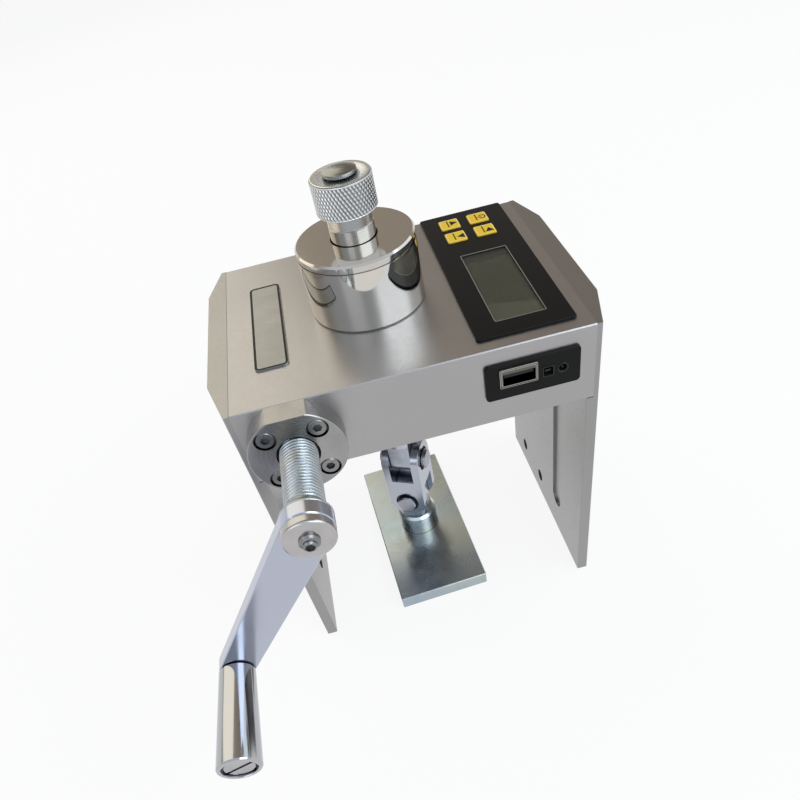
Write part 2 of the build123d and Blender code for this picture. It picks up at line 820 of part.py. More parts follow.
def plunger_seal():
    """Ring seal in the plunger's groove."""
    half = plunger_groove_depth / 2
    middle = plunger_front - plunger_land - plunger_groove / 2
    ring = Torus(plunger_radius - half, half - seal_bite / 2)
    return Pos(pump_x, middle, pump_height) * Rot(90, 0, 0) * ring


def gallery_plug():
    """Grub screw that closes the gallery where it was drilled from the left side."""
    start = body_left + plug_inset
    plug = crossing(plug_radius, start, start + plug_length, (gallery_y, pump_height))
    socket = Plane.YZ.offset(start) * Pos(gallery_y, pump_height) * RegularPolygon(plug_radius / 2, 6)
    return plug - extrude(socket, plug_length * socket_share)


def crank_arm():
    """Flat tapered bar from the hub to the handle, with broken edges."""
    run = (handle_x - pump_x, handle_z - pump_height)
    length = (run[0] ** 2 + run[1] ** 2) ** 0.5
    along = (run[0] / length, run[1] / length)
    lean = (arm_hub_radius - arm_tip_radius) / length
    across = (1 - lean ** 2) ** 0.5
    corners = []
    hub = (pump_x, pump_height, arm_hub_radius)
    tip = (handle_x, handle_z, arm_tip_radius)
    for (x, z, radius), sign in ((hub, -1), (tip, -1), (tip, 1), (hub, 1)):
        normal = (-along[1] * sign * across + along[0] * lean, along[0] * sign * across + along[1] * lean)
        corners.append((x + normal[0] * radius, z + normal[1] * radius))
    outline = Polygon(*corners, align=None)
    outline += Pos(pump_x, pump_height) * Circle(arm_hub_radius)
    outline += Pos(handle_x, handle_z) * Circle(arm_tip_radius)
    arm = extrude(Plane.XZ.offset(-collar_front) * outline, arm_thickness, dir=(0, -1, 0))
    arm = chamfer(arm.edges().group_by(Axis.Y)[0] + arm.edges().group_by(Axis.Y)[-1], edge_break)
    shank = lying(shank_radius + snug_gap, arm_front - 1, collar_front + 1, (pump_x, pump_height))
    flat = shank_radius - shank_flat + snug_gap
    shank -= slab((pump_x - shank_radius - 1, pump_x + shank_radius + 1), (arm_front - 2, collar_front + 2),
                  (pump_height + flat, pump_height + shank_radius + 1))
    thread = lying(bolt_thread_radius + snug_gap, arm_front - 1, collar_front + 1, (handle_x, handle_z))
    return arm - shank - thread


def clamp_disc():
    """Round disc that clamps the crank on its shank."""
    back = arm_front - disc_groove
    profile = [
        (crank_screw_radius + loose_gap, disc_front), (disc_radius, disc_front), (disc_radius, back),
        (disc_radius - disc_groove, arm_front), (crank_screw_radius + loose_gap, arm_front),
    ]
    disc = turned_lying(profile, (pump_x, pump_height))
    return fillet(disc.edges().group_by(Axis.Y)[0].sort_by(SortBy.LENGTH)[-1], disc_round)


def handle_grip():
    """Tapered grip with a bore for its bolt and a recess for the bolt's head."""
    bore = bolt_radius + running_gap
    profile = [
        (bore, grip_base), (grip_base_radius - 0.3, grip_base), (grip_base_radius, grip_base - 0.3),
        (grip_end_radius, grip_end + 0.8), (grip_end_radius - 0.3, grip_end + 0.25),
        (grip_end_radius - 0.8, grip_end), (grip_recess + 0.2, grip_end), (grip_recess, grip_end + 0.2),
        (grip_recess, grip_floor), (bore, grip_floor),
    ]
    return turned_lying(profile, (handle_x, handle_z))


def handle_bolt():
    """Shouldered bolt: slotted head, smooth shoulder and a thread in the arm."""
    seat = grip_floor - running_gap
    near = seat - bolt_head
    thread = bolt_thread_radius
    profile = [
        (0, near), (bolt_head_radius - 0.3, near), (bolt_head_radius, near + 0.3), (bolt_head_radius, seat),
        (bolt_radius, seat), (bolt_radius, arm_front), (thread, arm_front), (thread, collar_front - 0.4),
        (0, collar_front - 0.4),
    ]
    bolt = turned_lying(profile, (handle_x, handle_z))
    slot = slab((-bolt_head_radius - 1, bolt_head_radius + 1), (near - 1, near + bolt_slot_depth),
                (-bolt_slot / 2, bolt_slot / 2))
    return bolt - Pos(handle_x, 0, handle_z) * Rot(0, bolt_slot_turn, 0) * slot


def fascia():
    """Display panel with its window and key openings, and a rim that drops into the pocket."""
    high = top + fascia_thickness
    panel = plate(fascia_width, fascia_length, top, high, fascia_corner, fascia_centre)
    panel = chamfer(panel.edges().group_by(Axis.Z)[-1], 0.25)
    rim = plate(pocket_width - 2 * running_gap, pocket_length - 2 * running_gap, top - fascia_rim, top,
                pocket_corner, fascia_centre)
    rim -= plate(pocket_width - 2 * fascia_rim_wall, pocket_length - 2 * fascia_rim_wall, top - fascia_rim, top,
                 pocket_corner - fascia_rim_wall, fascia_centre)
    window = plate(window_width, window_length, top - 2, high + 1, 0.5, window_centre)
    panel = panel + rim - window
    for x, y in key_places().values():
        panel -= plate(key_size[0] + 2 * key_gap, key_size[1] + 2 * key_gap, top - 2, high + 1, 0.8, (x, y))
    return panel


def display_window():
    """Glass in the fascia's window opening."""
    high = top + fascia_thickness - window_sink
    return plate(window_width - 0.1, window_length - 0.1, high - window_thickness, high, 0.5, window_centre)


def key(place):
    """One key: cap in the fascia's opening on a short button that meets its switch."""
    high = top + fascia_thickness + key_proud
    shoulder = top - running_gap
    low = shoulder - key_flange
    cap = plate(key_size[0], key_size[1], low, high, 0.7, place)
    cap = chamfer(cap.edges().group_by(Axis.Z)[-1], 0.25)
    flange = plate(key_size[0] + 1.2, key_size[1] + 1.2, low, shoulder, 0.7, place)
    switch_top = board_top + switch_height + switch_stem
    button = upright(key_button_radius, switch_top + key_travel, low, place)
    return cap + flange + button


def key_switches():
    """Four tact switches on the board."""
    switches = []
    half = switch_size / 2
    for x, y in key_places().values():
        case = slab((x - half, x + half), (y - half, y + half), (board_top, board_top + switch_height))
        case_top = board_top + switch_height
        switches.append(case + upright(key_button_radius - 0.1, case_top, case_top + switch_stem, (x, y)))
    return switches


def display_module():
    """Display module between the board and the window."""
    high = top + fascia_thickness - window_sink - window_thickness
    x, y = window_centre
    half_x, half_y = module_size[0] / 2, module_size[1] / 2
    base = slab((x - half_x, x + half_x), (y - half_y, y + half_y), (board_top, top - module_drop))
    half_x, half_y = window_width / 2 - loose_gap, window_length / 2 - loose_gap
    panel = slab((x - half_x, x + half_x), (y - half_y, y + half_y), (top - module_drop, high))
    return base + panel


def main_board():
    """Main circuit board with its four fixing holes."""
    x, y = fascia_centre
    half_x, half_y = board_size[0] / 2, board_size[1] / 2
    board = slab((x - half_x, x + half_x), (y - half_y, y + half_y), (board_low, board_top))
    for place in board_post_places():
        board -= upright(board_screw_radius + 0.1, board_low, board_top, place)
    return board


def board_posts():
    """Four posts from the pocket's floor to the board."""
    posts = []
    for place in board_post_places():
        post = upright(post_radius, floor_z, board_low, place)
        hole_low = board_low - board_screw_length - post_bore_spare
        posts.append(post - upright(board_screw_radius + running_gap, hole_low, board_low, place))
    return posts


def board_screws():
    """Four pan-head screws in the posts."""
    screws = []
    for place in board_post_places():
        head = upright(board_screw_head, board_top, board_top + board_screw_height, place)
        screws.append(head + upright(board_screw_radius, board_low - board_screw_length, board_top, place))
    return screws


def battery_cell():
    """Rechargeable cell on the pocket's floor."""
    x = fascia_centre[0] + pocket_width / 2 - cell_radius - 0.1
    z = floor_z + cell_radius + 0.02
    tip = cell_near
    shoulder = tip + cell_button
    return turned_lying([
        (0, tip), (cell_button_radius, tip), (cell_button_radius, shoulder), (cell_radius - 0.4, shoulder),
        (cell_radius, shoulder + 0.4), (cell_radius, cell_rear - 0.4), (cell_radius - 0.4, cell_rear),
        (0, cell_rear),
    ], (x, z))


def pressure_sensor():
    """Pressure sensor screwed into the gallery from the pocket."""
    wall = fascia_centre[0] - pocket_width / 2
    at = (gallery_y, pump_height)
    body = crossing(sensor_thread, wall - sensor_thread_length, wall, at)
    nut = extrude(Plane.YZ.offset(wall) * Pos(*at) * RegularPolygon(sensor_radius, 6), sensor_nut)
    can = crossing(sensor_can_radius, wall + sensor_nut, wall + sensor_length, at)
    port = crossing(gallery_radius, wall - sensor_thread_length, wall - 2, at)
    return body + nut + can - port


def port_board():
    """Small board that carries the sockets behind the port panel."""
    half = pocket_width / 2 - 1.4
    return slab((fascia_centre[0] - half, fascia_centre[0] + half),
                (front + 1.0, port_board_rear), (port_board_low, port_board_top))


def port_panel():
    """Black panel on the front face with its socket openings."""
    panel = front_plate(port_width, port_height, port_front, front, port_corner, port_centre)
    panel = chamfer(panel.edges().group_by(Axis.Y)[0], 0.25)
    gap = running_gap
    panel -= front_plate(usb_inner[0] + 2 * usb_wall + 2 * gap, usb_inner[1] + 2 * usb_wall + 2 * gap,
                         port_front - 1, front + 1, 0.5, (usb_x, usb_z))
    panel -= front_plate(service_size[0] + 2 * gap, service_size[1] + 2 * gap,
                         port_front - 1, front + 1, 0.4, (service_x, port_centre[1]))
    panel -= lying(jack_radius + gap, port_front - 1, front + 1, (jack_x, port_centre[1]))
    return panel


def usb_shell():
    """Sheet-metal shell of the type A socket, with its flared lip on the panel."""
    near = port_front - usb_flange_thickness
    outer = front_plate(usb_inner[0] + 2 * usb_wall, usb_inner[1] + 2 * usb_wall, near, front + usb_depth, 0.4,
                        (usb_x, usb_z))
    lip_at = (usb_x + usb_flange_shift[0], usb_z + usb_flange_shift[1])
    lip = front_plate(usb_flange[0], usb_flange[1], near, port_front, 0.5, lip_at)
    lip = chamfer(lip.edges().group_by(Axis.Y)[0], 0.25)
    mouth = front_plate(usb_inner[0], usb_inner[1], near - 1, front + usb_depth - usb_wall, 0.3, (usb_x, usb_z))
    shell = outer + lip - mouth
    shell_low = usb_z - usb_inner[1] / 2 - usb_wall
    for side in (-1, 1):
        edge = usb_x + side * (usb_inner[0] / 2 + usb_wall / 2)
        shell += slab((edge - usb_wall / 2, edge + usb_wall / 2), (front + 2, front + usb_depth - 2),
                      (port_board_top, shell_low + 1))
    return shell


def usb_tongue():
    """Plastic tongue inside the type A socket, on a block at the back of the shell."""
    back = front + usb_depth - usb_wall
    base = slab((usb_x - usb_inner[0] / 2 + 0.1, usb_x + usb_inner[0] / 2 - 0.1), (back - 3, back),
                (usb_z - usb_inner[1] / 2 + 0.1, usb_z + usb_inner[1] / 2 - 0.1))
    half_x, half_z = usb_tongue_size[0] / 2, usb_tongue_size[1] / 2
    middle = usb_z + 0.9
    return base + slab((usb_x - half_x, usb_x + half_x), (port_front + 0.8, back - 3),
                       (middle - half_z, middle + half_z))


def service_socket():
    """Small square socket with a contact tongue."""
    near = port_front - 0.2
    far = front + service_depth
    z = port_centre[1]
    shell = front_plate(service_size[0], service_size[1], near, far, 0.4, (service_x, z))
    cavity = front_plate(service_size[0] - 2 * service_wall, service_size[1] - 2 * service_wall, near - 1, far - 1, 0.3, (service_x, z))
    blade = slab((service_x - service_size[0] / 4, service_x + service_size[0] / 4), (near + 0.8, far - 1), (z - service_wall, z + service_wall))
    return shell - cavity + blade


def charge_jack():
    """Round charging socket with its centre pin."""
    near = port_front - 0.3
    far = front + jack_depth
    z = port_centre[1]
    jack = turned_lying([
        (jack_bore, far - 1.5), (jack_bore, near + 0.3), (jack_bore + 0.3, near), (jack_radius - 0.2, near),
        (jack_radius, near + 0.2), (jack_radius, far), (0, far), (0, near + 1), (jack_pin, near + 1),
        (jack_pin, far - 1.5),
    ], (jack_x, z))
    foot = slab((jack_x - 2, jack_x + 2), (front + 1.2, far), (port_board_top, z - jack_radius + 0.4))
    return jack + foot


def label_plate():
    """Thin plate on the top face."""
    return plate(label_width, label_length, top, top + label_thickness, label_corner, label_centre)


def leg_screws():
    """All the screws of both legs."""
    return [leg_screw(side, y, z) for side in (-1, 1) for y, z in leg_screw_places()]


def build():
    """Every piece by its node name."""
    nodes = {
        "body_block": body_block(),
        "left_leg": leg(-1),
        "right_leg": leg(1),
        "leg_screws": leg_screws(),
        "cylinder_barrel": cylinder_barrel(),
        "barrel_seal": barrel_seal(),
        "cylinder_lid": cylinder_lid(),
        "lid_wiper": lid_wiper(),
        "piston": piston(),
        "piston_seal": piston_seal(),
        "stem_seal": stem_seal(),
        "return_spring": return_spring(),
        "adjusting_nut": adjusting_nut(),
        "nut_cap": nut_cap(),
        "pull_rod": pull_rod(),
        "joint_link": joint_link(),
        "upper_pin": joint_pin(True),
        "lower_pin": joint_pin(False),
        "pin_clips": pin_clips(),
        "coupling_stud": coupling_stud(),
        "standard_block": standard_block(),
        "pump_flange": pump_flange(),
        "flange_seal": flange_seal(),
        "flange_screws": flange_screws(),
        "pump_spindle": pump_spindle(),
        "thrust_ball": thrust_ball(),
        "pump_plunger": pump_plunger(),
        "plunger_seal": plunger_seal(),
        "gallery_plug": gallery_plug(),
        "crank_arm": crank_arm(),
        "clamp_disc": clamp_disc(),
        "crank_screw": crank_screw(),
        "handle_grip": handle_grip(),
        "handle_bolt": handle_bolt(),
        "fascia": fascia(),
        "display_window": display_window(),
        "display_module": display_module(),
        "key_switches": key_switches(),
        "main_board": main_board(),
        "board_posts": board_posts(),
        "board_screws": board_screws(),
        "battery_cell": battery_cell(),
        "pressure_sensor": pressure_sensor(),
        "port_board": port_board(),
        "port_panel": port_panel(),
        "usb_shell": usb_shell(),
        "usb_tongue": usb_tongue(),
        "service_socket": service_socket(),
        "charge_jack": charge_jack(),
        "label_plate": label_plate(),
    }
    for name, place in key_places().items():
        nodes[name] = key(place)
    return nodes


def write(nodes):
    """Writes one STEP file for each piece or group of like pieces."""
    os.makedirs("parts", exist_ok=True)
    for name, shape in nodes.items():
        solids = []
        for item in shape if isinstance(shape, list) else [shape]:
            solids.extend(item.solids())
        whole = solids[0] if len(solids) == 1 else Compound(children=solids)
        whole.label = name
        export_step(whole, f"parts/{name}.step")


write(build())
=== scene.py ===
"""Looks of the hand-cranked pull-off bond strength tester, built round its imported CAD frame.

Lengths are in metres. The frame's own axes are used: +Z is up and +Y points to the rear.
"""

import json
from math import cos, pi, radians, sin

import bpy
from mathutils import Matrix, Vector


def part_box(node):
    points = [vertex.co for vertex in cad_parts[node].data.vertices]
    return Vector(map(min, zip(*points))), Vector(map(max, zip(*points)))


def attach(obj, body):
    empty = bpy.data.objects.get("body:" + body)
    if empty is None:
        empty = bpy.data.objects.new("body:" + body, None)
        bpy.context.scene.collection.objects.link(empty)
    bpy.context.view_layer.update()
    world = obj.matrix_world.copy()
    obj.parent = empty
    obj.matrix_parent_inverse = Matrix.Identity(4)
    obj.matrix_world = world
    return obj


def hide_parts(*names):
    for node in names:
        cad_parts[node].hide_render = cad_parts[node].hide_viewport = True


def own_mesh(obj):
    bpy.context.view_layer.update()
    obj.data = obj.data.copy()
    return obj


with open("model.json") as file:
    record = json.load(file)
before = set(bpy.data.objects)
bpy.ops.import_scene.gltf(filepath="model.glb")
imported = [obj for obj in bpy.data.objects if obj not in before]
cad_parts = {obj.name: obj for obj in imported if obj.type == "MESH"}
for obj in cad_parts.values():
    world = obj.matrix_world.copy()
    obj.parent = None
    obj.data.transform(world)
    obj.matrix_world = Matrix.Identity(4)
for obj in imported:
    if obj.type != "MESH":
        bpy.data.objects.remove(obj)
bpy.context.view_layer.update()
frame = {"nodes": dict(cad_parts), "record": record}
nodes = frame["nodes"]

MM = 0.001

# A point on each axis that something turns about, and the nut's outside
PULL = (0, 0, 0)
PUMP = (-38.7 * MM, 0, 129.6 * MM)
LOWER_PIN = (0, 0, 33.0 * MM)
grip_low, grip_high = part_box("handle_grip")
GRIP = ((grip_low[0] + grip_high[0]) / 2, 0, (grip_low[2] + grip_high[2]) / 2)
NUT_RADIUS = 11.3 * MM
KNURL_DEPTH = 0.42 * MM

# Scales of the noise that draws fine tool marks, straight and turned
GRAIN = 900
RINGS = 7000


# Node trees


class Nodes:
    """A node tree with short helpers."""

    def __init__(self, tree):
        self.tree = tree

    def add(self, kind, **settings):
        node = self.tree.nodes.new(kind)
        for key, value in settings.items():
            setattr(node, key, value)
        return node

    def link(self, source, target):
        self.tree.links.new(source, target)

    def feed(self, value, socket):
        """Links an output to a socket, or sets the socket to a plain value."""
        if hasattr(value, "is_linked"):
            self.link(value, socket)
        else:
            socket.default_value = value

    def math(self, operation, first, second):
        node = self.add("ShaderNodeMath", operation=operation)
        self.feed(first, node.inputs[0])
        self.feed(second, node.inputs[1])
        return node.outputs[0]

    def vector(self, operation, first, second=None):
        node = self.add("ShaderNodeVectorMath", operation=operation)
        self.feed(first, node.inputs[0])
        if second is not None:
            self.feed(second, node.inputs[1])
        return node.outputs["Value" if operation in ("LENGTH", "DOT_PRODUCT") else "Vector"]

    def span(self, value, low, high, to_low=0, to_high=1, **settings):
        """Maps the range low to high onto another, and holds its ends."""
        node = self.add("ShaderNodeMapRange", **settings)
        for key, number in (("From Min", low), ("From Max", high), ("To Min", to_low), ("To Max", to_high)):
            node.inputs[key].default_value = number
        self.link(value, node.inputs["Value"])
        return node.outputs["Result"]

    def blend(self, factor, first, second, **settings):
        """Mixes two colours, each an output or red, green and blue."""
        mix = self.add("ShaderNodeMix", data_type="RGBA", **settings)
        self.feed(factor, mix.inputs["Factor"])
        for key, colour in (("A", first), ("B", second)):
            socket = [i for i in mix.inputs if i.name == key and i.type == "RGBA"][0]
            self.feed(colour if hasattr(colour, "is_linked") else (*colour, 1), socket)
        return [o for o in mix.outputs if o.type == "RGBA"][0]

    def seen(self, share=1.0):
        """The share given for camera, mirror and glass rays, and 0 for all others."""
        rays = self.add("ShaderNodeLightPath").outputs
        direct = self.math("MAXIMUM", rays["Is Camera Ray"], rays["Is Glossy Ray"])
        return self.math("MULTIPLY", self.math("MAXIMUM", direct, rays["Is Transmission Ray"]), share)

    def mixed(self, factor, first, second):
        """Mixes two shaders."""
        mix = self.add("ShaderNodeMixShader")
        for source, socket in zip((factor, first, second), mix.inputs):
            self.link(source, socket)
        return mix.outputs[0]


class Shader(Nodes):
    """A new material's node tree."""

    def __init__(self, name):
        self.material = bpy.data.materials.new(name)
        self.material.use_nodes = True
        super().__init__(self.material.node_tree)
        self.surface = self.tree.nodes["Principled BSDF"]
        self.place = self.add("ShaderNodeTexCoord").outputs["Object"]

    def set(self, **values):
        for key, value in values.items():
            self.surface.inputs[key.replace("_", " ")].default_value = value
        return self

    def noise(self, scale, stretch=(1, 1, 1), detail=2, roughness=0.55):
        mapping = self.add("ShaderNodeMapping")
        mapping.inputs["Scale"].default_value = stretch
        self.link(self.place, mapping.inputs["Vector"])
        return self.texture(mapping.outputs["Vector"], Scale=scale, Detail=detail, Roughness=roughness)

    def texture(self, place, **values):
        noise = self.add("ShaderNodeTexNoise")
        for key, value in values.items():
            noise.inputs[key].default_value = value
        self.link(place, noise.inputs["Vector"])
        return noise.outputs["Fac"]

    def arm(self, axis, at):
        """The vector from a turning axis to the shaded point."""
        across = {"Y": (1, 0, 1), "Z": (1, 1, 0)}[axis]
        return self.vector("MULTIPLY", self.vector("SUBTRACT", self.place, at), across)

    def rings(self, axis, at, scale):
        """Noise that changes with the distance from a turning axis and along it."""
        split = self.add("ShaderNodeSeparateXYZ")
        self.link(self.place, split.inputs[0])
        spot = self.add("ShaderNodeCombineXYZ")
        self.link(self.vector("LENGTH", self.arm(axis, at)), spot.inputs["X"])
        self.link(split.outputs[axis], spot.inputs["Y"])
        return self.texture(spot.outputs[0], Scale=scale, Detail=2.0)

    def spun(self, axis, at, amount):
        """Stretches the highlights across the tool marks left by turning."""
        direction = {"Y": (0, 1, 0), "Z": (0, 0, 1)}[axis]
        self.link(self.vector("CROSS_PRODUCT", direction, self.arm(axis, at)), self.surface.inputs["Tangent"])
        return self.set(Anisotropic=amount)

    def colour(self, value):
        self.link(value, self.surface.inputs["Base Color"])
        return self

    def clouded(self, scale, dark, light):
        """Soft clouds of tone between two colours."""
        return self.colour(self.blend(self.span(self.noise(scale, detail=3), 0.3, 0.7), dark, light))

    def rough(self, texture, low, high, start=0.3, end=0.7):
        """Roughness from low to high as the texture goes from start to end."""
        self.link(self.span(texture, start, end, low, high), self.surface.inputs["Roughness"])
        return self

    def bump(self, height, strength, distance):
        bump = self.add("ShaderNodeBump")
        bump.inputs["Strength"].default_value = strength
        bump.inputs["Distance"].default_value = distance
        self.link(height, bump.inputs["Height"])
        self.link(bump.outputs["Normal"], self.surface.inputs["Normal"])
        return self


# Materials


def shaded(colour, share):
    """The colour at a share of its brightness."""
    return tuple(channel * share for channel in colour)


def satin_aluminium(name, dark, light):
    """Fine-grained anodised plate with soft clouds of tone."""
    shade = Shader(name).set(Metallic=1.0).clouded(14, dark, light)
    grain = shade.noise(GRAIN)
    return shade.rough(grain, 0.30, 0.38).bump(grain, strength=0.12, distance=0.02 * MM).material


def chrome(name, colour, low=0.03, high=0.07):
    """Mirror chrome with faint wiping marks."""
    shade = Shader(name).set(Metallic=1.0, Base_Color=(*colour, 1))
    smear = shade.noise(60, (1, 1, 0.4), detail=3)
    return shade.rough(smear, low, high, start=0.35).material


def turned_steel(name, colour, axis, at, low, high):
    """Steel with tool rings round its axis, highlights drawn across them and a small spread of tone."""
    shade = Shader(name).set(Metallic=1.0).clouded(90, shaded(colour, 0.82), colour)
    ring = shade.rings(axis, at, RINGS)
    shade.rough(ring, low, high).spun(axis, at, 0.6)
    return shade.bump(ring, strength=0.25, distance=0.002 * MM).material


def knurled_steel(name, crest, groove_shade, radius, depth):
    """Steel with painted shade in the knurl's grooves, darker the nearer they lie to the nut's axis, and a
    light plain neck.
    """
    shade = Shader(name).set(Metallic=1.0)
    distance = shade.vector("LENGTH", shade.arm("Z", PULL))
    # Painted shade: the colour fades from the dark groove colour at the groove bottoms to the crest colour
    groove_shade_fade = shade.span(distance, radius - depth, radius - 0.25 * depth)
    plain = shade.span(distance, radius - 1.4 * depth, radius - 1.2 * depth, 1, 0)
    shade.colour(shade.blend(shade.math("MAXIMUM", groove_shade_fade, plain), groove_shade, crest))
    return shade.rough(shade.rings("Z", PULL, 3000.0), 0.22, 0.26).spun("Z", PULL, 0.5).material


def brushed_steel(name, colour, stretch, low=0.2, high=0.32):
    """Flat steel with fine marks drawn one way."""
    shade = Shader(name).set(Metallic=1.0).clouded(60, shaded(colour, 0.85), colour)
    grain = shade.noise(GRAIN, stretch)
    return shade.rough(grain, low, high).bump(grain, strength=0.2, distance=0.01 * MM).material


def zinc_plate(name, light, dark, scale):
    """Blotchy bright zinc with warm and cool patches."""
    cool, warm = (0.90, 0.96, 1.0), (1.0, 0.98, 0.92)
    shade = Shader(name).set(Metallic=1.0)
    patches = shade.noise(scale, detail=5, roughness=0.65)
    tint = shade.noise(scale * 0.35, (1, 1.4, 1))
    base = shade.blend(shade.span(patches, 0.42, 0.62), dark, light)
    cast = shade.blend(shade.span(tint, 0.40, 0.66), cool, warm)
    shade.colour(shade.blend(1.0, base, cast, blend_type="MULTIPLY"))
    shade.rough(patches, 0.20, 0.34, start=0.35, end=0.65)
    return shade.bump(patches, strength=0.1, distance=0.02 * MM).material


def plastic(name, colour, rough=0.4, shine=0.5, grain=0.0):
    """Plain plastic with an optional fine texture."""
    shade = Shader(name).set(Base_Color=(*colour, 1), Specular_IOR_Level=shine)
    texture = shade.noise(1400)
    shade.rough(texture, rough, rough + 0.08)
    if grain:
        shade.bump(texture, strength=grain, distance=0.02 * MM)
    return shade.material


def glass(name, tint):
    """Dark display cover."""
    shade = Shader(name).set(Base_Color=(*tint, 1), IOR=1.49, Alpha=0.2)
    return shade.rough(shade.noise(500), 0.05, 0.12, start=0.5, end=0.8).material


PAINT = {
    "body_aluminium": satin_aluminium("body_aluminium", (0.365, 0.355, 0.36), (0.40, 0.39, 0.395)),
    # The legs' aluminium is a darker copy of the body's: painted shade for the shadowed floor that their
    # inner faces mirror
    "leg_aluminium": satin_aluminium("leg_aluminium", (0.31, 0.305, 0.305), (0.34, 0.335, 0.335)),
    "barrel_chrome": chrome("barrel_chrome", (0.62, 0.59, 0.545)),
    "lid_chrome": chrome("lid_chrome", (0.56, 0.53, 0.50), 0.06, 0.12),
    "stem_steel": turned_steel("stem_steel", (0.42, 0.405, 0.38), "Z", PULL, 0.14, 0.24),
    # The dark second colour is painted shade for the bottoms of the knurl's grooves
    "knurled_steel": knurled_steel("knurled_steel", (0.72, 0.73, 0.73), (0.13, 0.14, 0.15),
                                   NUT_RADIUS, KNURL_DEPTH),
    "cap_steel": turned_steel("cap_steel", (0.30, 0.305, 0.29), "Z", PULL, 0.2, 0.3),
    "rod_steel": zinc_plate("rod_steel", (0.55, 0.56, 0.60), (0.42, 0.43, 0.48), 70),
    "joint_chrome": chrome("joint_chrome", (0.42, 0.44, 0.50), 0.14, 0.24),
    "pin_steel": turned_steel("pin_steel", (0.36, 0.37, 0.42), "Y", LOWER_PIN, 0.15, 0.25),
    "clip_steel": plastic("clip_steel", (0.03, 0.03, 0.03), 0.3, 0.3),
    "stud_zinc": zinc_plate("stud_zinc", (0.72, 0.75, 0.77), (0.62, 0.65, 0.68), 110),
    "block_zinc": zinc_plate("block_zinc", (0.45, 0.48, 0.49), (0.385, 0.43, 0.465), 60),
    "flange_steel": turned_steel("flange_steel", (0.34, 0.335, 0.335), "Y", PUMP, 0.18, 0.3),
    "screw_steel": turned_steel("screw_steel", (0.26, 0.26, 0.26), "Y", PUMP, 0.2, 0.3),
    "spindle_zinc": zinc_plate("spindle_zinc", (0.47, 0.48, 0.48), (0.40, 0.41, 0.42), 140),
    "crank_steel": chrome("crank_steel", (0.45, 0.475, 0.56), 0.14, 0.22),
    "disc_steel": turned_steel("disc_steel", (0.50, 0.485, 0.485), "Y", PUMP, 0.15, 0.28),
    "grip_chrome": chrome("grip_chrome", (0.44, 0.445, 0.465), 0.08, 0.14),
    "bolt_steel": turned_steel("bolt_steel", (0.46, 0.46, 0.48), "Y", GRIP, 0.2, 0.3),
    "panel_black": plastic("panel_black", (0.006, 0.006, 0.006), 0.32, 0.12),
    "display_glass": glass("display_glass", (0.045, 0.045, 0.038)),
    "display_case": plastic("display_case", (0.24, 0.235, 0.16), 0.4, 0.2),
    "key_yellow": plastic("key_yellow", (0.80, 0.52, 0.015)),
    "label_silver": brushed_steel("label_silver", (0.32, 0.325, 0.32), (0.1, 1, 1), 0.3, 0.4),
    "socket_steel": chrome("socket_steel", (0.13, 0.125, 0.11), 0.15, 0.25),
    "socket_plastic": plastic("socket_plastic", (0.012, 0.012, 0.012), 0.4, 0.3),
    "seal_rubber": plastic("seal_rubber", (0.06, 0.056, 0.048), 0.6, grain=0.2),
    "spring_steel": brushed_steel("spring_steel", (0.42, 0.42, 0.42), (1, 1, 1)),
    "ball_steel": chrome("ball_steel", (0.65, 0.65, 0.65)),
    "sensor_steel": brushed_steel("sensor_steel", (0.55, 0.55, 0.54), (0.1, 1, 1)),
    "board_green": plastic("board_green", (0.03, 0.16, 0.07)),
    "post_brass": brushed_steel("post_brass", (0.72, 0.55, 0.28), (1, 1, 0.1)),
    "cell_wrap": plastic("cell_wrap", (0.08, 0.2, 0.45), 0.3),
}
INK = plastic("ink", (0.008, 0.008, 0.008), 0.45, 0.2)
# Painted highlight: a brighter copy of the socket chrome for the lit edges of the socket's lip
EDGE_HIGHLIGHT = chrome("painted_edge_highlight", (0.46, 0.45, 0.42), 0.2, 0.3)
SEAM = plastic("seam", (0.06, 0.055, 0.05), 0.6, 0.2)
# Painted highlight: a paler copy of the key yellow for the keys' rounded rims
KEY_RIM_HIGHLIGHT = plastic("key_rim_highlight", (0.88, 0.70, 0.22))
EDGE = plastic("window_edge", (0.22, 0.22, 0.19), 0.3)
BAND = plastic("display_band", (0.05, 0.052, 0.04), 0.4, 0.2)

slot_of = {part["node"]: part["material_slot"] for part in frame["record"]["subparts"]}


# Meshes


def paint(thing, material):
    """Gives an object one material."""
    thing.data.materials.clear()
    thing.data.materials.append(material)


for name, node in nodes.items():
    paint(node, PAINT[slot_of[name]])


def placed(name, data):
    """A new object in the scene."""
    thing = bpy.data.objects.new(name, data)
    bpy.context.scene.collection.objects.link(thing)
    return thing


def piece(name, points, faces, body, slot, material=None, smooth=True):
    """A mesh in the frame's own axes that rides on a body and takes a slot's finish."""
    mesh = bpy.data.meshes.new(name)
    mesh.from_pydata([tuple(point) for point in points], [], faces)
    mesh.validate()
    for polygon in mesh.polygons:
        polygon.use_smooth = smooth
    thing = placed(name, mesh)
    paint(thing, material or PAINT[slot])
    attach(thing, body)
    return thing


def skin(rows, columns, joined):
    """Faces over rows of points that each go once round.

    The last row joins the first, or else a flat face closes each end.
    """
    faces = []
    for i in range(rows if joined else rows - 1):
        here, there = i * columns, (i + 1) % rows * columns
        for j in range(columns):
            k = (j + 1) % columns
            faces.append((here + j, here + k, there + k, there + j))
    if not joined:
        last = (rows - 1) * columns
        faces += [tuple(range(columns))[::-1], tuple(range(last, last + columns))]
    return faces


